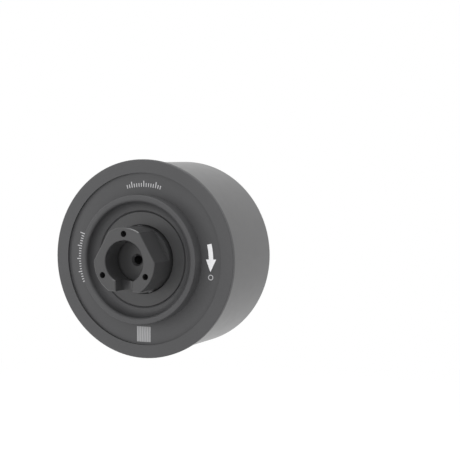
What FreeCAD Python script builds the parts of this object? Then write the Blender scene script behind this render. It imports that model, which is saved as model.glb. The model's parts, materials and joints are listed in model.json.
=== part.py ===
import FreeCAD, Part
import math
import os
from FreeCAD import Vector

# Direct-drive joint actuator. A fixed hollow shaft carries the stator and the driver board,
# and the whole case turns round it on two ball bearings.
#
# The axis of rotation is Y. The origin is the centre of the shaft's end face, the case lies
# towards +Y, and the cable notch points down, towards -Z. Sizes are in millimetres. Angles
# turn from +X towards +Z, and a station is a distance along +Y from the shaft's end face.

# ---- case -------------------------------------------------------------------------------
case_radius = 38.8
flange_overhang = 1.2           # how far the front flange stands past the case
flange_thickness = 2.0
flange_chamfer = 0.3
body_length = 41.0              # flange face to rear face
shaft_stub = 15.4               # shaft end face to flange face
can_wall = 2.0
rear_wall = 4.0
rear_edge_bend = 1.6            # fillet of the rear face's edge
hub_pad_radius = 18.6           # thicker middle of the rear wall, which holds the threads
hub_pad_height = 2.2
spigot_radius = 10.0            # pilot on the rear face
spigot_height = 4.0
spigot_chamfer = 0.5
output_bolt_circle = 30.0
output_bolt_count = 6
output_bolt_angle = 139.0       # first of the output holes
output_hole_depth = 5.0

# ---- front cover ------------------------------------------------------------------------
rim_width = 5.3                 # raised rim at the flange's edge
rim_step = 1.0
cover_web = 3.0                 # wall of the cover between the rim and the crater
crater_height = 5.8             # crater's lip above the face inside the rim
crater_outer_radius = 25.8
crater_lip_width = 2.7
crater_outer_bend = 0.35        # fillets of the lip's two edges
crater_inner_bend = 1.2
crater_wall = 0.1               # straight part of the lip's inside, below its fillet
crater_floor_width = 0.15       # flat floor between the seal plate's edge and the bowl
cover_skirt = 4.2               # depth of the skirt that fits inside the case
cover_skirt_wall = 2.4
cover_relief_depth = 2.6
cover_relief_gap = 1.2          # metal left between the relief and the bearing boss
bearing_boss_wall = 2.0
bearing_lip_thickness = 1.2
bearing_lip_height = 1.2
o_ring_section = 1.0
o_ring_slack = 0.1

# ---- seal round the shaft ---------------------------------------------------------------
seal_plate_thickness = 1.5
seal_plate_ledge = 0.85         # plate radius beyond the bearing's bore
seal_plate_chamfer = 0.4
seal_plate_relief = 0.4
seal_gap = 0.5                  # plate to shaft
seal_thickness = 0.6
seal_groove_depth = 0.375       # plate's front to the seal's groove
seal_grip = 1.1                 # how deep the seal sits in the plate
seal_running_gap = 0.1

# ---- shaft ------------------------------------------------------------------------------
shaft_shoulder = 1.0            # shaft's end stands this far above the front bearing's seat
shaft_flat_count = 3
shaft_flat_angle = 30.0         # first of the flats
shaft_flat_depth = 1.8
shaft_flat_stop = 2.8           # flats end this far before the flange face
shaft_collar = 1.2              # collar past the flange face, up to the front bearing
shaft_edge_chamfer = 0.3
well_radius = 8.4               # cable well in the shaft's end
well_depth = 11.1
well_groove = 0.5
lead_hole_radius = 1.7          # leads pass from the well to the driver board
lead_hole_mouth = 0.8
notch_half_width = 3.8
notch_straight = 5.2
shaft_bolt_circle = 22.0
shaft_bolt_count = 3
shaft_hole_depth = 9.0
m3_thread_radius = 1.25
m3_countersink = 0.5
shaft_seat_length = 5.4         # shaft from the front bearing to the carrier's seat
waist_radius = 8.0
shaft_tip = 0.4                 # shaft past the rear bearing
groove_depth = 0.6
circlip_thickness = 1.0
circlip_width = 2.0
circlip_slack = 0.1
circlip_gap_angle = 36.0
circlip_lug_radius = 1.3
circlip_lug_angle = 3.0         # lug's middle beyond the end of the ring

# ---- bearings ---------------------------------------------------------------------------
front_bearing = {"bore": 25.0, "outside": 37.0, "width": 7.0, "ball": 3.5, "balls": 15}
rear_bearing = {"bore": 12.0, "outside": 21.0, "width": 5.0, "ball": 2.3, "balls": 11}
race_wall_share = 0.283         # ring wall as a share of the section between bore and outside
ball_clearance = 0.04
cage_gap = 0.4
cage_width_share = 0.7
spring_height = 0.8
spring_sheet = 0.3
spring_waves = 3
spring_wave_points = 8          # points that shape each wave
spring_side_gap = 0.1
shaft_end_gap = 1.6

# ---- magnetic parts ---------------------------------------------------------------------
slot_count = 18
pole_count = 20
magnet_overhang = 1.0           # magnet past each end of the stack
magnet_thickness = 2.3
magnet_share = 0.9              # share of the pole pitch that a magnet fills
back_iron_overhang = 1.0        # back iron past each end of the magnets
back_iron_thickness = 2.3
back_iron_shoulder = 0.5
cover_to_iron = 0.4
air_gap = 0.6
cover_to_core = 1.5             # bearing boss to the bore of the core
winding_to_board = 0.8
yoke_thickness = 3.0
tooth_width = 3.6
tooth_tip = 1.0
tooth_tip_slope = 0.7
slot_opening = 1.9
insulator_thickness = 1.0
insulator_side = 0.3
insulator_wall = 0.6
insulator_wall_height = 2.8
insulator_setback = 0.3
coil_side = 2.0
coil_end = 2.2
coil_corner = 1.8
coil_play = 0.3

# ---- stator carrier ---------------------------------------------------------------------
carrier_web = 4.0
carrier_ring = 3.0
carrier_ring_inset = 1.5        # ring starts this far inside the front end of the stack
window_count = 6
window_angle = 38.0
window_edge = 1.0               # metal between a window and the ring
window_to_screws = 0.5
carrier_screw_circle = 20.8
carrier_screw_count = 4
carrier_screw_angle = 45.0
carrier_screw_reach = 5.0
m25_thread_radius = 1.0
m25_clear_radius = 1.35
m25_head_radius = 2.2
m25_head_height = 2.5
m25_socket_radius = 1.1
socket_depth = 1.3
dowel_radius = 1.0
dowel_reach = 3.0

# ---- driver board -----------------------------------------------------------------------
board_thickness = 1.6
board_hole_radius = 9.6
board_inset = 0.6               # board's edge inside the stator's outside
board_to_hub = 0.8
post_radius = 1.7
post_count = 4
post_thread_depth = 3.6
m2_thread_radius = 0.8
m2_clear_radius = 1.1
m2_head_radius = 1.75
m2_head_height = 1.3
m2_slot_width = 0.45
m2_slot_depth = 0.65
pin_radius = 0.6
pin_hole_gap = 0.2
pin_stand = 0.8
pin_angle = 10.0
pin_inset = 1.6                 # pins outside the bore of the core
transistor_size = (5.0, 1.0, 5.6)
transistor_spread = 12.5
capacitor_radius = 2.4
capacitor_height = 4.8
capacitor_spread = 9.5
power_inset = 4.4               # transistors and capacitors inside the board's edge
controller_size = (7.0, 1.0, 7.0)
controller_angle = 161.0
header_size = (8.0, 4.0, 5.0)
header_wall = 0.7
header_radius = 14.5
sensor_size = (4.0, 0.9, 4.0)
encoder_magnet_wall = 3.0
encoder_gap = 0.8

# ---- stations and radii that follow from them -------------------------------------------
Y_FLANGE = shaft_stub
Y_CAN = Y_FLANGE + flange_thickness
Y_REAR = Y_FLANGE + body_length
Y_WALL = Y_REAR - rear_wall
Y_PAD = Y_WALL - hub_pad_height
Y_FACE = Y_FLANGE + rim_step
Y_COVER_INSIDE = Y_FACE + cover_web
Y_SKIRT_END = Y_CAN + cover_skirt
Y_BEARING = Y_FLANGE + shaft_collar
Y_BEARING_END = Y_BEARING + front_bearing["width"]
Y_CARRIER = Y_BEARING_END + shaft_seat_length
Y_IRON = Y_SKIRT_END + cover_to_iron
Y_MAGNET = Y_IRON + back_iron_overhang
Y_STACK = Y_MAGNET + magnet_overhang
Y_SPRING_END = Y_WALL + spring_height / 2
Y_REAR_BEARING_END = Y_SPRING_END - spring_height
Y_REAR_BEARING = Y_REAR_BEARING_END - rear_bearing["width"]
Y_BOARD_END = Y_REAR_BEARING - board_to_hub
Y_BOARD = Y_BOARD_END - board_thickness
Y_STACK_END = Y_BOARD - winding_to_board - insulator_wall_height - insulator_thickness
Y_MAGNET_END = Y_STACK_END + magnet_overhang
Y_IRON_END = Y_MAGNET_END + back_iron_overhang
Y_SHAFT_END = Y_REAR_BEARING_END + shaft_tip
Y_SEAL_PLATE = Y_BEARING - seal_plate_thickness
Y_SEAL = Y_SEAL_PLATE + seal_groove_depth
STACK_LENGTH = Y_STACK_END - Y_STACK

R_FLANGE = case_radius + flange_overhang
R_CAN = case_radius - can_wall
R_IRON = R_CAN - back_iron_thickness
R_MAGNET = R_IRON - magnet_thickness
R_CORE = R_MAGNET - air_gap
R_SEAT = front_bearing["bore"] / 2
R_SHAFT = R_SEAT + shaft_shoulder
R_FRONT_BORE = front_bearing["outside"] / 2
R_FRONT_BOSS = R_FRONT_BORE + bearing_boss_wall
R_CORE_BORE = R_FRONT_BOSS + cover_to_core
R_YOKE = R_CORE_BORE + yoke_thickness
R_NECK = R_CORE - tooth_tip - tooth_tip_slope
R_CARRIER_BORE = R_CORE_BORE - carrier_ring
R_BOARD = R_CORE - board_inset
R_POST = R_CORE_BORE - post_radius
R_REAR_SEAT = rear_bearing["bore"] / 2
R_REAR_BORE = rear_bearing["outside"] / 2
R_HUB_BOSS = R_REAR_BORE + bearing_boss_wall
R_SEAL_PLATE = R_FRONT_BORE + seal_plate_ledge
R_SEAL_BORE = R_SHAFT + seal_gap
R_CIRCLIP = R_SEAT - groove_depth
R_POWER = R_BOARD - power_inset

AXIS = Vector(0, 1, 0)
CENTRE = Vector(0, 0, 0)


# ---- shapes -----------------------------------------------------------------------------
def at(radius, angle, station=0.0):
    """Point at a radius and angle about the axis."""
    turn = math.radians(angle)
    return Vector(radius * math.cos(turn), station, radius * math.sin(turn))


def rounded(before, corner, after, bend):
    """Start, middle and end of the arc that rounds a corner."""
    back, ahead = (before - corner).normalize(), (after - corner).normalize()
    half = back.getAngle(ahead) / 2
    reach = bend / math.tan(half)
    inwards = (back + ahead).normalize() * (bend / math.sin(half) - bend)
    return corner + back * reach, corner + inwards, corner + ahead * reach


def turned(outline):
    """Solid of revolution about the axis from corners (radius, station).

    A corner written (radius, station, bend) is rounded with that radius.
    """
    corners = [Vector(radius, station, 0) for radius, station, *_ in outline]
    spans = []
    for i, (_, _, *bend) in enumerate(outline):
        if bend:
            spans.append(rounded(corners[i - 1], corners[i], corners[(i + 1) % len(corners)], *bend))
        else:
            spans.append([corners[i]])
    edges = []
    for i, span in enumerate(spans):
        edges.append(Part.LineSegment(spans[i - 1][-1], span[0]).toShape())
        if len(span) > 1:
            edges.append(Part.Arc(*span).toShape())
    return Part.Face(Part.Wire(edges)).revolve(CENTRE, AXIS, 360)


def ring(inner, outer, start, end):
    """Plain ring between two radii and two stations."""
    return turned([(inner, start), (outer, start), (outer, end), (inner, end)])


def rod(radius, start, end, place=CENTRE):
    """Cylinder along the axis, centred on the axis or on a point beside it."""
    return Part.makeCylinder(radius, end - start, Vector(place.x, start, place.z), AXIS)


def sector(inner, outer, middle, width, start, end):
    """Piece of a ring, width degrees wide about a middle angle."""
    low, high = middle - width / 2, middle + width / 2
    edges = [
        Part.Arc(at(inner, low, start), at(inner, middle, start), at(inner, high, start)).toShape(),
        Part.LineSegment(at(inner, high, start), at(outer, high, start)).toShape(),
        Part.Arc(at(outer, high, start), at(outer, middle, start), at(outer, low, start)).toShape(),
        Part.LineSegment(at(outer, low, start), at(inner, low, start)).toShape(),
    ]
    return Part.Face(Part.Wire(edges)).extrude(Vector(0, end - start, 0))


def prism(outline, low, high):
    """Solid between two heights on Z, from flat corners (x, station)."""
    corners = [Vector(x, station, low) for x, station in outline]
    return Part.Face(Part.makePolygon(corners + corners[:1])).extrude(Vector(0, 0, high - low))


def block(size, start, radius, angle):
    """Box that stands on a station, with its middle at a radius and its depth along it."""
    width, height, depth = size
    box = Part.makeBox(depth, height, width, Vector(radius - depth / 2, start, -width / 2))
    return turn_to(box, angle)


def turn_to(shape, angle):
    """Copy of a shape turned about the axis, from +X towards +Z."""
    copy = shape.copy()
    copy.rotate(CENTRE, AXIS, -angle)
    return copy


def around(count, first=0.0):
    """Equally spaced angles round the axis."""
    return [first + 360.0 * i / count for i in range(count)]


def hole_pattern(radius, circle, angles, start, end):
    """Cylinders on a bolt circle, for cutting holes."""
    return [rod(radius, start, end, at(circle / 2, angle)) for angle in angles]


def cap_screw(place, head_station, reach):
    """Socket cap screw with its head towards +Y and its thread at the tapping size."""
    head = rod(m25_head_radius, head_station, head_station + m25_head_height, place)
    shank = rod(m25_thread_radius, head_station - reach, head_station, place)
    socket = rod(m25_socket_radius, head_station + m25_head_height - socket_depth,
                 head_station + m25_head_height, place)
    return head.fuse(shank).cut(socket).removeSplitter()


def pan_screw(place, head_station, reach):
    """Small pan-head screw with a straight slot, its head towards +Y."""
    top = head_station + m2_head_height
    head = rod(m2_head_radius, head_station, top, place)
    shank = rod(m2_thread_radius, head_station - reach, head_station, place)
    slot = Part.makeBox(2 * m2_head_radius, m2_slot_depth, m2_slot_width,
                        Vector(place.x - m2_head_radius, top - m2_slot_depth,
                               place.z - m2_slot_width / 2))
    return head.fuse(shank).cut(slot).removeSplitter()


# ---- shaft and stator -------------------------------------------------------------------
def shaft():
    """Trilobe mounting end, collar, front seat, carrier step, waist and rear seat."""
    groove_end = Y_BEARING_END + circlip_thickness + circlip_slack
    body = turned([
        (0, 0), (R_SHAFT - shaft_edge_chamfer, 0), (R_SHAFT, shaft_edge_chamfer),
        (R_SHAFT, Y_BEARING), (R_SEAT, Y_BEARING), (R_SEAT, Y_BEARING_END),
        (R_CIRCLIP, Y_BEARING_END), (R_CIRCLIP, groove_end), (R_SEAT, groove_end),
        (R_SEAT, Y_CARRIER), (waist_radius, Y_CARRIER), (waist_radius, Y_REAR_BEARING),
        (R_REAR_SEAT, Y_REAR_BEARING), (R_REAR_SEAT, Y_SHAFT_END), (0, Y_SHAFT_END),
    ])
    flat, flat_end = R_SHAFT - shaft_flat_depth, Y_FLANGE - shaft_flat_stop
    beside_flat = prism([(flat - shaft_edge_chamfer, 0), (2 * R_SHAFT, 0), (2 * R_SHAFT, flat_end),
                         (flat, flat_end), (flat, shaft_edge_chamfer)], -R_SHAFT, R_SHAFT)
    flats = [turn_to(beside_flat, angle) for angle in around(shaft_flat_count, shaft_flat_angle)]
    well = turned([
        (0, 0), (well_radius + shaft_edge_chamfer, 0), (well_radius, shaft_edge_chamfer),
        (well_radius, well_depth - 2 * well_groove),
        (well_radius + well_groove, well_depth - 2 * well_groove),
        (well_radius + well_groove, well_depth), (0, well_depth),
    ])
    mouth = notch_half_width + shaft_edge_chamfer
    notch = prism([(-mouth, 0), (mouth, 0), (notch_half_width, shaft_edge_chamfer),
                   (notch_half_width, notch_straight), (-notch_half_width, notch_straight),
                   (-notch_half_width, shaft_edge_chamfer)], -R_SHAFT, 0)
    notch_end = Part.makeCylinder(notch_half_width, R_SHAFT, Vector(0, notch_straight, 0),
                                  Vector(0, 0, -1))
    port_station = Y_STACK_END - lead_hole_radius
    lead_hole = turned([
        (0, well_depth), (lead_hole_radius + lead_hole_mouth, well_depth),
        (lead_hole_radius, well_depth + lead_hole_mouth), (lead_hole_radius, port_station),
        (0, port_station),
    ])
    port = Part.makeCylinder(lead_hole_radius, R_SHAFT, Vector(0, port_station, 0), Vector(0, 0, -1))
    bolts = hole_pattern(m3_thread_radius, shaft_bolt_circle, around(shaft_bolt_count, 90.0),
                         0, shaft_hole_depth)
    seats = hole_pattern(m25_thread_radius, carrier_screw_circle,
                         around(carrier_screw_count, carrier_screw_angle),
                         Y_CARRIER - carrier_screw_reach, Y_CARRIER)
    dowel = hole_pattern(dowel_radius, carrier_screw_circle, [0.0], Y_CARRIER - dowel_reach, Y_CARRIER)
    return body.cut(flats + [well, notch, notch_end, lead_hole, port] + bolts + seats + dowel)


def stator_carrier():
    """Hub and ring that hold the core on the shaft, with posts for the driver board."""
    ring_start = Y_STACK + carrier_ring_inset
    web_end = Y_CARRIER + carrier_web
    body = turned([
        (waist_radius, Y_CARRIER), (R_CARRIER_BORE, Y_CARRIER), (R_CARRIER_BORE, ring_start),
        (R_CORE_BORE, ring_start), (R_CORE_BORE, Y_STACK_END), (R_CARRIER_BORE, Y_STACK_END),
        (R_CARRIER_BORE, web_end), (waist_radius, web_end),
    ])
    window_inner = carrier_screw_circle / 2 + m25_head_radius + window_to_screws
    windows = [sector(window_inner, R_CARRIER_BORE - window_edge, angle, window_angle,
                      Y_CARRIER, web_end) for angle in around(window_count)]
    holes = hole_pattern(m25_clear_radius, carrier_screw_circle,
                         around(carrier_screw_count, carrier_screw_angle), Y_CARRIER, web_end)
    dowel = hole_pattern(dowel_radius, carrier_screw_circle, [0.0], Y_CARRIER, web_end)
    post_angles = around(post_count, pin_angle)
    posts = hole_pattern(post_radius, 2 * R_POST, post_angles, Y_STACK_END, Y_BOARD)
    threads = hole_pattern(m2_thread_radius, 2 * R_POST, post_angles,
                           Y_BOARD - post_thread_depth, Y_BOARD)
    return body.cut(windows + holes + dowel).fuse(posts).cut(threads).removeSplitter()


def toothed_face(bore, yoke, width, neck, slope, outside, opening, station):
    """Flat outline of a slotted stator: a ring with teeth that end in shoes."""
    half = width / 2
    foot_angle = math.degrees(math.asin(half / yoke))
    shoe_angle = 180.0 / slot_count - math.degrees(opening / 2 / outside)
    edges = []

    def line(a, b):
        edges.append(Part.LineSegment(a, b).toShape())

    def arc(radius, low, high):
        ends = [at(radius, angle, station) for angle in (low, (low + high) / 2, high)]
        edges.append(Part.Arc(*ends).toShape())

    for angle in around(slot_count, 90.0):
        along, across = at(1, angle), at(1, angle + 90)
        lift = Vector(0, station, 0)
        foot = [at(yoke, angle + side * foot_angle, station) for side in (-1, 1)]
        top = [lift + along * neck + across * (side * half) for side in (-1, 1)]
        under = [at(neck + slope, angle + side * shoe_angle, station) for side in (-1, 1)]
        tip = [at(outside, angle + side * shoe_angle, station) for side in (-1, 1)]
        line(foot[0], top[0])
        line(top[0], under[0])
        line(under[0], tip[0])
        arc(outside, angle - shoe_angle, angle + shoe_angle)
        line(tip[1], under[1])
        line(under[1], top[1])
        line(top[1], foot[1])
        arc(yoke, angle + foot_angle, angle + 360.0 / slot_count - foot_angle)
    inside = Part.makeCircle(bore, Vector(0, station, 0), AXIS)
    return Part.Face(Part.Wire(edges)).cut(Part.Face(Part.Wire(inside)))


def stator_core():
    """Slotted stack of laminations."""
    face = toothed_face(R_CORE_BORE, R_YOKE, tooth_width, R_NECK, tooth_tip_slope, R_CORE,
                        slot_opening, Y_STACK)
    return face.extrude(Vector(0, STACK_LENGTH, 0)).Solids[0]


def slot_insulator(seat, direction):
    """Moulded end piece on the core, with walls that keep the wire in place."""
    wall_start = seat + direction * insulator_thickness
    wall_end = wall_start + direction * insulator_wall_height
    low, high = sorted((wall_start, wall_end))
    outside = R_CORE - insulator_setback
    neck = R_NECK + insulator_setback
    face = toothed_face(R_CORE_BORE + insulator_setback, R_YOKE, tooth_width + 2 * insulator_side,
                        neck, tooth_tip_slope, outside, slot_opening + 2 * insulator_side, seat)
    plate = face.extrude(Vector(0, direction * insulator_thickness, 0))
    inner_wall = ring(R_YOKE - insulator_wall, R_YOKE, low, high)
    guard_angle = 360.0 / slot_count - 2 * math.degrees(slot_opening / outside)
    guards = [sector(outside - insulator_wall, outside, angle, guard_angle, low, high)
              for angle in around(slot_count, 90.0)]
    return plate.fuse([inner_wall] + guards).removeSplitter().Solids[0]


def coil(angle):
    """One coil wound round a tooth and the insulator's fingers."""
    hole_width = tooth_width + 2 * insulator_side
    hole_length = STACK_LENGTH + 2 * insulator_thickness
    inner, outer = R_YOKE + coil_play, R_NECK - coil_play
    middle = (Y_STACK + Y_STACK_END) / 2
    half_width = hole_width / 2 + coil_side
    half_length = hole_length / 2 + coil_end
    body = Part.makeBox(outer - inner, 2 * half_length, 2 * half_width,
                        Vector(inner, middle - half_length, -half_width))
    corners = [edge for edge in body.Edges
               if abs(edge.tangentAt(edge.FirstParameter).x) > 0.99]
    body = body.makeFillet(coil_corner, corners)
    hole = Part.makeBox(outer - inner, hole_length, hole_width,
                        Vector(inner, middle - hole_length / 2, -hole_width / 2))
    return turn_to(body.cut(hole), angle)


def phase_coils(phase):
    """Coils of one phase, in groups of neighbouring teeth."""
    group = slot_count // 6
    teeth = [i for i, _ in enumerate(around(slot_count)) if (i // group) % 3 == phase]
    return [coil(around(slot_count, 90.0)[i]) for i in teeth]


# ---- driver board -----------------------------------------------------------------------
def pin_places():
    return [at(R_CORE_BORE + pin_inset, angle) for angle in around(3, pin_angle)]


def driver_board():
    """Ring-shaped board round the shaft, behind the stator."""
    mounts = hole_pattern(m2_clear_radius, 2 * R_POST, around(post_count, pin_angle),
                          Y_BOARD, Y_BOARD_END)
    pins = [rod(pin_radius + pin_hole_gap, Y_BOARD, Y_BOARD_END, place) for place in pin_places()]
    return ring(board_hole_radius, R_BOARD, Y_BOARD, Y_BOARD_END).cut(mounts + pins)


def phase_pins():
    """Pins that take the three phases from the windings through the board."""
    seat = Y_STACK_END + insulator_thickness
    return [rod(pin_radius, seat, Y_BOARD_END + pin_stand, place) for place in pin_places()]


def power_transistors():
    """A pair of power transistors at each phase pin."""
    return [block(transistor_size, Y_BOARD_END, R_POWER, angle + side * transistor_spread)
            for angle in around(3, pin_angle) for side in (-1, 1)]


def bulk_capacitors():
    """Pairs of can capacitors between the phases."""
    return [rod(capacitor_radius, Y_BOARD_END, Y_BOARD_END + capacitor_height,
                at(R_POWER, angle + side * capacitor_spread))
            for angle in around(3, pin_angle + 60.0) for side in (-1, 1)]


def wire_header():
    """Socket for the leads, open towards the shaft's lead hole."""
    width, height, depth = header_size
    shell = block(header_size, Y_BOARD - height, header_radius, -90.0)
    pocket = block((width - 2 * header_wall, height - header_wall, depth - 2 * header_wall),
                   Y_BOARD - height, header_radius, -90.0)
    return shell.cut(pocket)


# ---- bearings ---------------------------------------------------------------------------
def bearing_sizes(bearing):
    """Pitch radius, ball radius and ring wall of a bearing."""
    inner, outer = bearing["bore"] / 2, bearing["outside"] / 2
    return (inner + outer) / 2, bearing["ball"] / 2, (outer - inner) * race_wall_share


def bearing_groove(bearing, start):
    pitch, ball, _ = bearing_sizes(bearing)
    middle = Vector(0, start + bearing["width"] / 2, 0)
    return Part.makeTorus(pitch, ball + ball_clearance, middle, AXIS)


def inner_ring(bearing, start):
    _, _, wall = bearing_sizes(bearing)
    bore = bearing["bore"] / 2
    return ring(bore, bore + wall, start, start + bearing["width"]).cut(bearing_groove(bearing, start))


def outer_ring(bearing, start):
    _, _, wall = bearing_sizes(bearing)
    outside = bearing["outside"] / 2
    return ring(outside - wall, outside, start, start + bearing["width"]).cut(
        bearing_groove(bearing, start))


def bearing_balls(bearing, start):
    pitch, ball, _ = bearing_sizes(bearing)
    middle = start + bearing["width"] / 2
    return [Part.makeSphere(ball, at(pitch, angle, middle), AXIS)
            for angle in around(bearing["balls"])]


def bearing_cage(bearing, start):
    """Ring between the races, drilled for the balls."""
    pitch, ball, wall = bearing_sizes(bearing)
    inner = bearing["bore"] / 2 + wall + cage_gap
    outer = bearing["outside"] / 2 - wall - cage_gap
    middle = start + bearing["width"] / 2
    half = bearing["width"] * cage_width_share / 2
    pockets = [Part.makeCylinder(ball + ball_clearance, 2 * ball, at(pitch - ball, angle, middle),
                                 at(1, angle)) for angle in around(bearing["balls"])]
    return ring(inner, outer, middle - half, middle + half).cut(pockets)


def front_circlip():
    """Open ring in the shaft's groove that holds the front bearing's inner ring."""
    outer = R_CIRCLIP + circlip_width
    start, end = Y_BEARING_END, Y_BEARING_END + circlip_thickness
    body = sector(R_CIRCLIP, outer, -90.0, 360.0 - circlip_gap_angle, start, end)
    ends = [at(outer - circlip_lug_radius / 2,
               90.0 + side * (circlip_gap_angle / 2 + circlip_lug_angle)) for side in (-1, 1)]
    lugs = [rod(circlip_lug_radius, start, end, place) for place in ends]
    eyes = [rod(circlip_lug_radius / 2, start, end, place) for place in ends]
    hub = rod(R_CIRCLIP, start, end)
    return body.fuse(lugs).cut(eyes + [hub]).removeSplitter()


def wave_spring():
    """Wavy washer that loads the rear bearing's outer ring."""
    swing = (spring_height - spring_sheet) / 2
    middle = Y_REAR_BEARING_END + swing
    rims = []
    wall = bearing_sizes(rear_bearing)[2]
    for radius in (R_REAR_BORE - wall, R_REAR_BORE - spring_side_gap):
        points = [at(radius, angle, middle + swing * math.cos(math.radians(angle * spring_waves)))
                  for angle in around(spring_wave_points * spring_waves)]
        rim = Part.BSplineCurve()
        rim.interpolate(Points=points, PeriodicFlag=True)
        rims.append(rim.toShape())
    return Part.makeRuledSurface(*rims).extrude(Vector(0, spring_sheet, 0))


# ---- case -------------------------------------------------------------------------------
def front_cover():
    """Flange, face and the lip of a bowl round the shaft, with the bearing's boss behind."""
    lip_edge = Y_FACE - crater_height
    lip_inner = crater_outer_radius - crater_lip_width
    floor_start = R_SEAL_PLATE + seal_plate_chamfer
    bowl = min(lip_inner - floor_start - crater_floor_width,
               Y_SEAL_PLATE - lip_edge - crater_inner_bend - crater_wall)
    relief_inner = R_FRONT_BOSS + cover_relief_gap
    relief_end = Y_COVER_INSIDE - cover_relief_depth
    skirt_inner = R_CAN - cover_skirt_wall
    groove_start = Y_CAN + (cover_skirt - o_ring_section - o_ring_slack) / 2
    groove_end = groove_start + o_ring_section + o_ring_slack
    rim_inner = R_FLANGE - rim_width
    stop = R_FRONT_BORE - bearing_lip_height
    stop_end = Y_BEARING_END + bearing_lip_thickness
    return turned([
        (R_FRONT_BORE, Y_BEARING),
        (R_SEAL_PLATE, Y_BEARING),
        (R_SEAL_PLATE, Y_SEAL_PLATE + seal_plate_chamfer),
        (floor_start, Y_SEAL_PLATE),
        (lip_inner, Y_SEAL_PLATE, bowl),
        (lip_inner, lip_edge, crater_inner_bend),
        (crater_outer_radius, lip_edge, crater_outer_bend),
        (crater_outer_radius, Y_FACE),
        (rim_inner, Y_FACE),
        (rim_inner, Y_FLANGE),
        (R_FLANGE - flange_chamfer, Y_FLANGE),
        (R_FLANGE, Y_FLANGE + flange_chamfer),
        (R_FLANGE, Y_CAN - flange_chamfer),
        (R_FLANGE - flange_chamfer, Y_CAN),
        (R_CAN, Y_CAN),
        (R_CAN, groove_start),
        (R_CAN - o_ring_section, groove_start),
        (R_CAN - o_ring_section, groove_end),
        (R_CAN, groove_end),
        (R_CAN, Y_SKIRT_END),
        (skirt_inner, Y_SKIRT_END),
        (skirt_inner, Y_COVER_INSIDE),
        (crater_outer_radius, Y_COVER_INSIDE),
        (crater_outer_radius, relief_end),
        (relief_inner, relief_end),
        (relief_inner, Y_COVER_INSIDE),
        (R_FRONT_BOSS, Y_COVER_INSIDE),
        (R_FRONT_BOSS, stop_end),
        (stop, stop_end),
        (stop, Y_BEARING_END),
        (R_FRONT_BORE, Y_BEARING_END),
    ])


def seal_plate():
    """Pressed-in plate that closes the bearing and holds the shaft seal."""
    relief = R_FRONT_BORE - bearing_sizes(front_bearing)[2]
    relief_start = Y_BEARING - seal_plate_relief
    groove_end = Y_SEAL + seal_thickness
    return turned([
        (R_SEAL_BORE, Y_SEAL_PLATE), (R_SEAL_PLATE - seal_plate_chamfer, Y_SEAL_PLATE),
        (R_SEAL_PLATE, Y_SEAL_PLATE + seal_plate_chamfer), (R_SEAL_PLATE, Y_BEARING),
        (relief, Y_BEARING), (relief, relief_start), (R_SEAL_BORE, relief_start),
        (R_SEAL_BORE, groove_end), (R_SEAL_BORE + seal_grip, groove_end),
        (R_SEAL_BORE + seal_grip, Y_SEAL), (R_SEAL_BORE, Y_SEAL),
    ])


def shaft_seal():
    """Rubber ring in the plate's groove that all but touches the shaft."""
    return ring(R_SHAFT + seal_running_gap, R_SEAL_BORE + seal_grip, Y_SEAL, Y_SEAL + seal_thickness)


def cover_o_ring():
    start = Y_CAN + (cover_skirt - o_ring_section) / 2
    return ring(R_CAN - o_ring_section, R_CAN, start, start + o_ring_section)


def rotor_can():
    """Deep cup with the output face, the pilot and the rear bearing's boss."""
    shoulder = R_CAN - back_iron_shoulder
    pilot_end = Y_REAR + spigot_height
    pocket = R_REAR_SEAT + shaft_end_gap
    body = turned([
        (0, pilot_end), (0, Y_SHAFT_END + shaft_end_gap), (pocket, Y_SHAFT_END + shaft_end_gap),
        (pocket, Y_SPRING_END), (R_REAR_BORE, Y_SPRING_END), (R_REAR_BORE, Y_REAR_BEARING),
        (R_HUB_BOSS, Y_REAR_BEARING), (R_HUB_BOSS, Y_PAD), (hub_pad_radius, Y_PAD),
        (hub_pad_radius, Y_WALL), (shoulder, Y_WALL), (shoulder, Y_IRON_END), (R_CAN, Y_IRON_END),
        (R_CAN, Y_CAN), (case_radius, Y_CAN), (case_radius, Y_REAR, rear_edge_bend),
        (spigot_radius, Y_REAR), (spigot_radius, pilot_end - spigot_chamfer),
        (spigot_radius - spigot_chamfer, pilot_end),
    ])
    angles = around(output_bolt_count, output_bolt_angle)
    holes = hole_pattern(m3_thread_radius, output_bolt_circle, angles, Y_REAR - output_hole_depth, Y_REAR)
    mouths = [Part.makeCone(m3_thread_radius, m3_thread_radius + m3_countersink, m3_countersink,
                            at(output_bolt_circle / 2, angle, Y_REAR - m3_countersink), AXIS)
              for angle in angles]
    return body.cut(holes + mouths)


def back_iron():
    return ring(R_IRON, R_CAN, Y_IRON, Y_IRON_END)


def magnets(pole):
    """Every other arc magnet, of one polarity."""
    width = 360.0 / pole_count * magnet_share
    return [sector(R_MAGNET, R_IRON, angle, width, Y_MAGNET, Y_MAGNET_END)
            for angle in around(pole_count)[pole::2]]


def encoder_magnet():
    """Ring magnet on the hub's boss, read by the sensor on the board."""
    start = Y_BOARD_END + sensor_size[1] + encoder_gap
    return ring(R_HUB_BOSS, R_HUB_BOSS + encoder_magnet_wall, start, Y_PAD)


def encoder_sensor():
    return block(sensor_size, Y_BOARD_END, R_HUB_BOSS + encoder_magnet_wall, 90.0)


# ---- sub-parts --------------------------------------------------------------------------
def export(node, pieces):
    """Write one node, as one solid or as a group of separate solids."""
    solids = pieces if isinstance(pieces, list) else [pieces]
    shape = solids[0] if len(solids) == 1 else Part.makeCompound(solids)
    shape.exportStep("parts/" + node + ".step")
    print(node, len(shape.Solids), round(shape.Volume, 1), shape.isValid())


os.makedirs("parts", exist_ok=True)

carrier_screw_places = [at(carrier_screw_circle / 2, angle)
                        for angle in around(carrier_screw_count, carrier_screw_angle)]
post_places = [at(R_POST, angle) for angle in around(post_count, pin_angle)]

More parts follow.
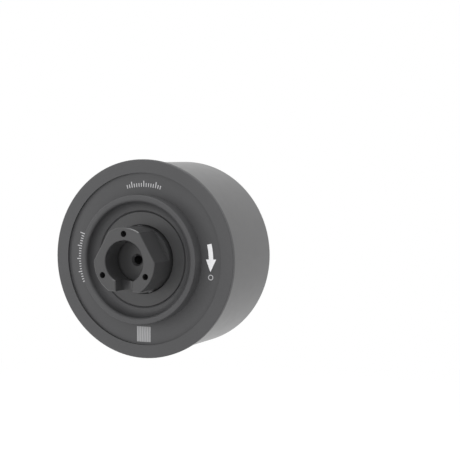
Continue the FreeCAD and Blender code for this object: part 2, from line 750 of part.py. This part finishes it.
export("shaft", shaft())
export("stator_carrier", stator_carrier())
export("carrier_screws", [cap_screw(place, Y_CARRIER + carrier_web, carrier_web + carrier_screw_reach)
                          for place in carrier_screw_places])
export("carrier_dowel", rod(dowel_radius, Y_CARRIER - dowel_reach, Y_CARRIER + carrier_web,
                            at(carrier_screw_circle / 2, 0.0)))
export("stator_core", stator_core())
export("slot_insulator_front", slot_insulator(Y_STACK, -1))
export("slot_insulator_rear", slot_insulator(Y_STACK_END, 1))
export("coils_phase_u", phase_coils(0))
export("coils_phase_v", phase_coils(1))
export("coils_phase_w", phase_coils(2))
export("phase_pins", phase_pins())
export("driver_board", driver_board())
export("board_screws", [pan_screw(place, Y_BOARD_END, board_thickness + post_thread_depth)
                        for place in post_places])
export("power_transistors", power_transistors())
export("bulk_capacitors", bulk_capacitors())
export("controller_chip", block(controller_size, Y_BOARD_END, R_POST, controller_angle))
export("encoder_sensor", encoder_sensor())
export("wire_header", wire_header())
export("front_bearing_inner_ring", inner_ring(front_bearing, Y_BEARING))
export("front_bearing_outer_ring", outer_ring(front_bearing, Y_BEARING))
export("front_bearing_balls", bearing_balls(front_bearing, Y_BEARING))
export("front_bearing_cage", bearing_cage(front_bearing, Y_BEARING))
export("front_circlip", front_circlip())
export("rear_bearing_inner_ring", inner_ring(rear_bearing, Y_REAR_BEARING))
export("rear_bearing_outer_ring", outer_ring(rear_bearing, Y_REAR_BEARING))
export("rear_bearing_balls", bearing_balls(rear_bearing, Y_REAR_BEARING))
export("rear_bearing_cage", bearing_cage(rear_bearing, Y_REAR_BEARING))
export("wave_spring", wave_spring())
export("front_cover", front_cover())
export("cover_o_ring", cover_o_ring())
export("seal_plate", seal_plate())
export("shaft_seal", shaft_seal())
export("rotor_can", rotor_can())
export("back_iron", back_iron())
export("magnets_north", magnets(0))
export("magnets_south", magnets(1))
export("encoder_magnet", encoder_magnet())
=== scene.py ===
"""Studio view of the joint actuator.

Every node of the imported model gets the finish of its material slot. The script adds the printed
marks on the cover, the camera, the lamps, the white surroundings and a pale floor. Lengths are in
metres and angles in degrees.
"""
import json
import math

import bmesh
import bpy
from mathutils import Matrix, Vector


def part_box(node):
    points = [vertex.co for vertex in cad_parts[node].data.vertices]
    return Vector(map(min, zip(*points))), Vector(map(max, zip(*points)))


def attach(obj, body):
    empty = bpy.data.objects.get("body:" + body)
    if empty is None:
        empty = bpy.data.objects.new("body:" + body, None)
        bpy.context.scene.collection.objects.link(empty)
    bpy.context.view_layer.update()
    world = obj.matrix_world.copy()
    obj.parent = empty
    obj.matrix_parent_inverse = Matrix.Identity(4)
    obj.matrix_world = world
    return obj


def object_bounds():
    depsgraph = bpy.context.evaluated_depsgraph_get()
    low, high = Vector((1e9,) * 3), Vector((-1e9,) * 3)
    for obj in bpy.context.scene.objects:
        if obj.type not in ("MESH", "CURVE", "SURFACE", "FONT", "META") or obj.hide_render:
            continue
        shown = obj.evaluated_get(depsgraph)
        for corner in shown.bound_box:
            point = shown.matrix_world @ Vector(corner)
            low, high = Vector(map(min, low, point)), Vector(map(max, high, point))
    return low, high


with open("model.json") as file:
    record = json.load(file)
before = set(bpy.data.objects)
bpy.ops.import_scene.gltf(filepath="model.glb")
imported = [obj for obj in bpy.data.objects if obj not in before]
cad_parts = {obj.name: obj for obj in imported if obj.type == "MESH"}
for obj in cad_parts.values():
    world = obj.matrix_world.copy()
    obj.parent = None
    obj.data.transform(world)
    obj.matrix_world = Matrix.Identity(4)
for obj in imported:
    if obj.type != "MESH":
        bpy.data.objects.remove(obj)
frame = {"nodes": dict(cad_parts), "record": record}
cad_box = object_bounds()

MM = 0.001

# ---- camera: seen from the shaft's side, a little from the right and from above ----------
VIEW_AZIMUTH = 24.38
VIEW_ELEVATION = 3.33
LENS = 99.53                    # focal length in millimetres
SENSOR = 36.0                   # width of the sensor in millimetres
DISTANCE = 510.1 * MM           # from the lens to the flange's centre, along the view
ASIDE = -35.16 * MM             # the flange's centre lies left of the view's middle
BELOW = -11.68 * MM             # and below it

# ---- light and surroundings --------------------------------------------------------------
LAMPS = {                       # name: place, side of the square, watts
    "left": ((-0.48, -0.35, 0.10), 0.3, 0.8),
    "front": ((0.10, -0.80, 0.15), 0.4, 0.9),
    "top": ((0.0, -0.10, 1.0), 0.5, 5.0),
}
CASE_MIDDLE = Vector((0, 0.03, 0))
WORLD_LEVEL = 0.9               # strength of the surroundings as light; they are seen at 1
FLOOR_DROP = 90 * MM            # from the case's lowest point down to the floor
FLOOR_RADIUS = 6.0
FLOOR_FADE = (0.15, 0.55)       # the floor turns white between these distances from its middle

# ---- marks on the cover ------------------------------------------------------------------
PLATE_STAND = 0.3 * MM          # the seal plate stands in front of the flange by this much
FACE_STEP = 1.0 * MM            # the marked face lies behind the flange by this much
FLANGE_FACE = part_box("seal_plate")[0].y + PLATE_STAND
MARK_FACE = FLANGE_FACE + FACE_STEP
MARK_DEPTH = 0.03 * MM          # above the face, and as much below it
TICK_HALF_WIDTH = 0.2 * MM
SHORT_TICK = 0.62               # length of a short tick, as a share of a long one
STEM_HALF_WIDTH = 0.22          # of the arrow, as a share of its head's width
STEM_LENGTH = 0.55              # of the arrow, as a share of its whole length

TRACE_WHITE = (0.78, 0.78, 0.79)
TRACE_GREY = (0.46, 0.46, 0.47)
TRACE_ETCHED = (0.26, 0.26, 0.265)

# ---- detail of the finishes --------------------------------------------------------------
FINE_TURNING = 0.12 * MM        # pitch of the tool's grooves under anodising
COARSE_TURNING = 0.2 * MM       # and on bare metal
SHEET_PITCH = 0.35 * MM         # of the laminations
WIRE_PITCH = 0.5 * MM           # of the windings
HATCH_PITCH = 0.22 * MM         # of a laser mark
CODE_PITCH = 1.1 * MM           # of the coarser hatch in the code field
UNIT_WAVE = 0.314               # length of one band of a wave texture at scale 1


# ---- materials as node trees -------------------------------------------------------------
class Finish:
    """A Principled material with a few building blocks for procedural detail."""

    def __init__(self, name, colour, metallic=0.0, roughness=0.5, specular=0.5):
        self.material = bpy.data.materials.new(name)
        self.material.use_nodes = True
        self.tree = self.material.node_tree
        self.shader = self.tree.nodes["Principled BSDF"]
        self.colour = colour
        self.roughness = roughness
        self.set("Base Color", self.tone(1.0))
        self.set("Metallic", metallic)
        self.set("Roughness", roughness)
        self.set("Specular IOR Level", specular)
        self.place = self.add("ShaderNodeTexCoord").outputs["Object"]

    def tone(self, share):
        """The plain colour, made lighter or darker by a factor."""
        return (*(channel * share for channel in self.colour), 1.0)

    def set(self, socket, value):
        self.shader.inputs[socket].default_value = value

    def add(self, kind, **settings):
        node = self.tree.nodes.new(kind)
        for key, value in settings.items():
            setattr(node, key, value)
        return node

    def link(self, source, target):
        self.tree.links.new(source, target)

    def math(self, operation, first, second=None):
        """One Math node. Each operand is a socket or a number."""
        node = self.add("ShaderNodeMath", operation=operation)
        for slot, value in enumerate((first, second)):
            if isinstance(value, (int, float)):
                node.inputs[slot].default_value = value
            elif value is not None:
                self.link(value, node.inputs[slot])
        return node.outputs[0]

    def noise(self, scale, detail=2.0):
        """Cloudy pattern with about scale features to the metre."""
        node = self.add("ShaderNodeTexNoise")
        node.inputs["Scale"].default_value = scale
        node.inputs["Detail"].default_value = detail
        self.link(self.place, node.inputs["Vector"])
        return node.outputs["Fac"]

    def wave(self, pitch, distortion=0.0, **layout):
        """Even stripes, one pitch apart. The layout gives their type and direction."""
        node = self.add("ShaderNodeTexWave", **layout)
        node.inputs["Scale"].default_value = UNIT_WAVE / pitch
        node.inputs["Distortion"].default_value = distortion
        self.link(self.place, node.inputs["Vector"])
        return node.outputs["Fac"]

    def turned_lines(self, pitch):
        """Grooves left by a lathe: rings on flat faces and hoops on round walls."""
        axes = self.add("ShaderNodeSeparateXYZ")
        self.link(self.place, axes.inputs[0])
        x, y, z = axes.outputs
        squares = [self.math("MULTIPLY", axis, axis) for axis in (x, z)]
        radius = self.math("SQRT", self.math("ADD", *squares))
        node = self.add("ShaderNodeTexNoise", noise_dimensions="1D")
        node.inputs["Scale"].default_value = 1.0 / pitch
        node.inputs["Detail"].default_value = 3.0
        self.link(self.math("ADD", radius, y), node.inputs["W"])
        return node.outputs["Fac"]

    def vary_roughness(self, factor, spread):
        """Roughness runs from below to above its plain value as factor goes from 0 to 1."""
        span = self.add("ShaderNodeMapRange")
        span.inputs["To Min"].default_value = self.roughness - spread
        span.inputs["To Max"].default_value = self.roughness + spread
        self.link(factor, span.inputs["Value"])
        self.link(span.outputs["Result"], self.shader.inputs["Roughness"])

    def vary_colour(self, factor, share):
        """Colour runs from darker to lighter than its plain value by a share."""
        mix = self.add("ShaderNodeMix", data_type="RGBA")
        mix.inputs[6].default_value = self.tone(1 - share)
        mix.inputs[7].default_value = self.tone(1 + share)
        self.link(factor, mix.inputs[0])
        self.link(mix.outputs[2], self.shader.inputs["Base Color"])

    def bump(self, height, strength, depth):
        node = self.add("ShaderNodeBump")
        node.inputs["Strength"].default_value = strength
        node.inputs["Distance"].default_value = depth
        self.link(height, node.inputs["Height"])
        self.link(node.outputs["Normal"], self.shader.inputs["Normal"])


# ---- finishes ----------------------------------------------------------------------------
def anodised(name, colour, roughness, specular=0.6):
    """Dark satin anodising over a fine turned surface. Its layer shines as a dielectric does."""
    finish = Finish(name, colour, roughness=roughness, specular=specular)
    finish.vary_colour(finish.noise(scale=90.0, detail=3.0), share=0.06)
    finish.vary_roughness(finish.noise(scale=260.0, detail=4.0), spread=0.035)
    lines = finish.math("MULTIPLY", finish.turned_lines(FINE_TURNING), 0.5)
    height = finish.math("ADD", lines, finish.noise(scale=5200.0))
    finish.bump(height, strength=0.05, depth=0.01 * MM)
    return finish.material


def bright_metal(name, colour, roughness):
    """Ground or turned bare metal."""
    finish = Finish(name, colour, metallic=1.0, roughness=roughness)
    lines = finish.turned_lines(COARSE_TURNING)
    finish.vary_roughness(lines, spread=0.08)
    finish.vary_colour(finish.noise(scale=400.0), share=0.05)
    finish.bump(lines, strength=0.12, depth=0.01 * MM)
    return finish.material


def laminated(name, colour):
    """Edges of thin steel sheets stacked along the axis."""
    finish = Finish(name, colour, metallic=0.9, roughness=0.45)
    sheets = finish.wave(SHEET_PITCH, wave_type="BANDS", bands_direction="Y")
    finish.vary_colour(sheets, share=0.35)
    finish.bump(sheets, strength=0.4, depth=0.03 * MM)
    return finish.material


def wound_copper(name, colour):
    """Enamelled wire laid in close turns."""
    finish = Finish(name, colour, metallic=0.85, roughness=0.28)
    turns = finish.wave(WIRE_PITCH, wave_type="RINGS", rings_direction="Y")
    finish.vary_colour(turns, share=0.3)
    finish.bump(turns, strength=0.5, depth=0.05 * MM)
    return finish.material


def moulded(name, colour, roughness=0.5, grain=900.0, specular=0.5):
    """Moulded plastic, epoxy or rubber with a fine grain."""
    finish = Finish(name, colour, roughness=roughness, specular=specular)
    speckle = finish.noise(scale=grain, detail=3.0)
    finish.vary_colour(finish.noise(scale=150.0), share=0.08)
    finish.vary_roughness(speckle, spread=0.06)
    finish.bump(speckle, strength=0.15, depth=0.02 * MM)
    return finish.material


def laser_mark(name, colour, pitch=HATCH_PITCH, share=0.10):
    """Frosted trace left by a marking laser, with its hatch."""
    finish = Finish(name, colour, roughness=0.6)
    hatch = finish.wave(pitch, distortion=1.5, wave_type="BANDS", bands_direction="X")
    finish.vary_colour(hatch, share)
    finish.bump(finish.noise(scale=6000.0), strength=0.2, depth=0.01 * MM)
    return finish.material


# slot of the record: kind of finish, colour, and the kind's other settings in their order
RECIPES = {
    "dark_anodised": (anodised, (0.056, 0.056, 0.058), 0.55, 0.4),
    "case_anodised": (anodised, (0.031, 0.031, 0.032), 0.32, 1.0),
    "shaft_anodised": (anodised, (0.036, 0.036, 0.0372), 0.34),
    "seal_plate_finish": (anodised, (0.034, 0.034, 0.0352), 0.4),
    "carrier_aluminium": (bright_metal, (0.62, 0.63, 0.65), 0.35),
    "bearing_steel": (bright_metal, (0.60, 0.61, 0.62), 0.2),
    "ball_steel": (bright_metal, (0.75, 0.76, 0.78), 0.1),
    "cage_polymer": (moulded, (0.72, 0.66, 0.50)),
    "screw_steel": (bright_metal, (0.10, 0.10, 0.105), 0.4),
    "spring_steel": (bright_metal, (0.42, 0.43, 0.45), 0.3),
    "lamination_steel": (laminated, (0.30, 0.31, 0.33)),
    "iron_ring": (bright_metal, (0.33, 0.33, 0.34), 0.4),
    "magnet_nickel": (bright_metal, (0.58, 0.57, 0.53), 0.25),
    "insulator_nylon": (moulded, (0.10, 0.20, 0.36)),
    "copper_winding": (wound_copper, (0.72, 0.33, 0.16)),
    "pin_brass": (bright_metal, (0.78, 0.62, 0.28), 0.25),
    "board_laminate": (moulded, (0.03, 0.16, 0.08), 0.35),
    "chip_black": (moulded, (0.03, 0.03, 0.032), 0.55, 2500.0),
    "capacitor_can": (bright_metal, (0.55, 0.56, 0.58), 0.3),
    "header_plastic": (moulded, (0.85, 0.83, 0.76)),
    "seal_rubber": (moulded, (0.010, 0.010, 0.0105), 0.7, 3000.0, 0.1),
    "encoder_ferrite": (moulded, (0.13, 0.12, 0.12), 0.6),
}


def dress_nodes():
    """Give every CAD node the finish of its slot in the record."""
    palette = {slot: kind(slot, *settings) for slot, (kind, *settings) in RECIPES.items()}
    for part in frame["record"]["subparts"]:
        node = frame["nodes"][part["node"]]
        if not node.material_slots:
            node.data.materials.append(None)
        for slot in node.material_slots:
            slot.material = palette[part["material_slot"]]


# ---- outlines of the marks, as lists of (radius, angle) corners --------------------------
def polar(x, z):
    """Radius and angle of a point given across and up the face."""
    return math.hypot(x, z), math.degrees(math.atan2(z, x))


def sector(inner, outer, low, high, steps=1):
    """Piece of a ring."""
    span = [low + (high - low) * i / steps for i in range(steps + 1)]
    return [(inner, a) for a in span] + [(outer, a) for a in reversed(span)]


def scale_ticks(middle, spread, count, inner, outer):
    """Ticks of a small graduated scale, every fifth one long."""
    outlines = []
    half = math.degrees(TICK_HALF_WIDTH / outer)
    for i in range(count):
        angle = middle + spread * (i / (count - 1) - 0.5)
        long_tick = (i - count // 2) % 5 == 0
        top = outer if long_tick else inner + (outer - inner) * SHORT_TICK
        outlines.append(sector(inner, top, angle - half, angle + half))
    return outlines


def turn_arrow(inner, outer, start, end):
    """Broad curved arrow that shows the positive turning direction."""
    middle = (inner + outer) / 2
    half = (outer - inner) * STEM_HALF_WIDTH
    neck = start + (end - start) * STEM_LENGTH
    stem = sector(middle - half, middle + half, start, neck, steps=6)
    head = [(inner, neck), (middle, end), (outer, neck)]
    return [stem, head]


def small_ring(radius, angle, size, width, steps=20):
    """Small round mark, as a loop of short plates."""
    centre = on_face(radius, angle)
    outlines = []
    for i in range(steps):
        corners = []
        for turn, reach in ((i, size - width), (i + 1, size - width), (i + 1, size), (i, size)):
            bearing = 2 * math.pi * turn / steps
            corners.append(polar(centre.x + reach * math.cos(bearing),
                                 centre.z + reach * math.sin(bearing)))
        outlines.append(corners)
    return outlines


def square(radius, side):
    """Square with its middle straight below the axis."""
    half = side / 2
    return [[polar(x * half, -radius + z * half)
             for x, z in ((-1, -1), (1, -1), (1, 1), (-1, 1))]]


# ---- marks as thin plates ----------------------------------------------------------------
def on_face(radius, angle, lift=0.0):
    """Point on the cover's marked face, lift above it towards the viewer."""
    turn = math.radians(angle)
    return Vector((radius * math.cos(turn), MARK_FACE - lift, radius * math.sin(turn)))


def add_plate(mesh, outline):
    """Thin plate on the marked face."""
    front = [mesh.verts.new(on_face(r, a, MARK_DEPTH)) for r, a in outline]
    back = [mesh.verts.new(on_face(r, a, -MARK_DEPTH)) for r, a in outline]
    mesh.faces.new(front)
    mesh.faces.new(reversed(back))
    for i in range(len(outline)):
        j = (i + 1) % len(outline)
        mesh.faces.new((front[j], front[i], back[i], back[j]))


def mark(name, outlines, finish):
    """One flat mark of several plates that turns with the case."""
    mesh = bmesh.new()
    for outline in outlines:
        add_plate(mesh, outline)
    bmesh.ops.recalc_face_normals(mesh, faces=mesh.faces)
    data = bpy.data.meshes.new(name)
    mesh.to_mesh(data)
    mesh.free()
    data.materials.append(finish)
    piece = bpy.data.objects.new(name, data)
    bpy.context.scene.collection.objects.link(piece)
    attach(piece, "rotor")


def add_marks():
    white = laser_mark("trace_white", TRACE_WHITE)
    grey = laser_mark("trace_grey", TRACE_GREY)
    etched = laser_mark("trace_etched", TRACE_ETCHED, CODE_PITCH, share=0.2)
    top = scale_ticks(middle=89.5, spread=29.0, count=15, inner=29.0 * MM, outer=31.4 * MM)
    side = scale_ticks(middle=180.5, spread=39.0, count=20, inner=28.7 * MM, outer=30.9 * MM)
    arrow = turn_arrow(inner=27.8 * MM, outer=32.2 * MM, start=13.0, end=-8.0)
    ring = small_ring(radius=30.5 * MM, angle=-12.0, size=1.1 * MM, width=0.3 * MM)
    code = square(radius=30.4 * MM, side=6.2 * MM)
    mark("top_scale", top, grey)
    mark("side_scale", side, grey)
    mark("turn_arrow", arrow, white)
    mark("index_ring", ring, grey)
    mark("code_field", code, etched)


# ---- studio ------------------------------------------------------------------------------
def camera_axes():
    """Right, up and forward directions of the view."""
    azimuth, elevation = math.radians(VIEW_AZIMUTH), math.radians(VIEW_ELEVATION)
    forward = Vector((-math.sin(azimuth) * math.cos(elevation),
                      math.cos(azimuth) * math.cos(elevation), -math.sin(elevation)))
    right = forward.cross(Vector((0, 0, 1))).normalized()
    return right, right.cross(forward), forward


def add_camera():
    right, up, forward = camera_axes()
    target = Vector((0, FLANGE_FACE, 0))
    data = bpy.data.cameras.new("camera")
    data.lens = LENS
    data.sensor_width = SENSOR
    camera = bpy.data.objects.new("camera", data)
    camera.location = target - right * ASIDE - up * BELOW - forward * DISTANCE
    camera.rotation_euler = Matrix((right, up, -forward)).transposed().to_euler()
    bpy.context.scene.collection.objects.link(camera)
    bpy.context.scene.camera = camera


def add_lamps():
    """Square soft lamps that face the actuator."""
    for name, (place, size, power) in LAMPS.items():
        data = bpy.data.lights.new(name, "AREA")
        data.size = size
        data.energy = power
        lamp = bpy.data.objects.new(name, data)
        lamp.location = place
        lamp.rotation_euler = (CASE_MIDDLE - Vector(place)).to_track_quat("-Z", "Y").to_euler()
        bpy.context.scene.collection.objects.link(lamp)


def add_world():
    """White surroundings, full white to the camera and in reflections."""
    world = bpy.data.worlds.new("studio")
    world.use_nodes = True
    bpy.context.scene.world = world
    tree = world.node_tree
    background = tree.nodes["Background"]
    background.inputs["Color"].default_value = (1.0, 1.0, 1.0, 1.0)
    rays = tree.nodes.new("ShaderNodeLightPath")
    seen = tree.nodes.new("ShaderNodeMath")
    seen.operation = "MAXIMUM"
    level = tree.nodes.new("ShaderNodeMapRange")
    level.inputs["To Min"].default_value = WORLD_LEVEL
    level.inputs["To Max"].default_value = 1.0
    tree.links.new(rays.outputs["Is Camera Ray"], seen.inputs[0])
    tree.links.new(rays.outputs["Is Glossy Ray"], seen.inputs[1])
    tree.links.new(seen.outputs[0], level.inputs["Value"])
    tree.links.new(level.outputs["Result"], background.inputs["Strength"])


def floor_paper():
    """Pale paper that turns to plain white away from the middle."""
    paper = Finish("floor_paper", (0.86, 0.86, 0.86), roughness=0.9)
    white = paper.add("ShaderNodeEmission")
    mix = paper.add("ShaderNodeMixShader")
    length = paper.add("ShaderNodeVectorMath", operation="LENGTH")
    fade = paper.add("ShaderNodeMapRange")
    fade.inputs["From Min"].default_value, fade.inputs["From Max"].default_value = FLOOR_FADE
    paper.link(paper.place, length.inputs[0])
    paper.link(length.outputs["Value"], fade.inputs["Value"])
    paper.link(fade.outputs["Result"], mix.inputs["Fac"])
    paper.link(paper.shader.outputs[0], mix.inputs[1])
    paper.link(white.outputs[0], mix.inputs[2])
    paper.link(mix.outputs[0], paper.tree.nodes["Material Output"].inputs["Surface"])
    return paper.material


def add_floor():
    mesh = bmesh.new()
    bmesh.ops.create_circle(mesh, cap_ends=True, radius=FLOOR_RADIUS, segments=64)
    data = bpy.data.meshes.new("floor")
    mesh.to_mesh(data)
    mesh.free()
    data.materials.append(floor_paper())
    floor = bpy.data.objects.new("floor", data)
    floor.location = (CASE_MIDDLE.x, CASE_MIDDLE.y, cad_box[0].z - FLOOR_DROP)
    bpy.context.scene.collection.objects.link(floor)


dress_nodes()
add_marks()
add_camera()
add_world()
add_floor()
add_lamps()
bpy.context.scene.view_settings.view_transform = "Standard"
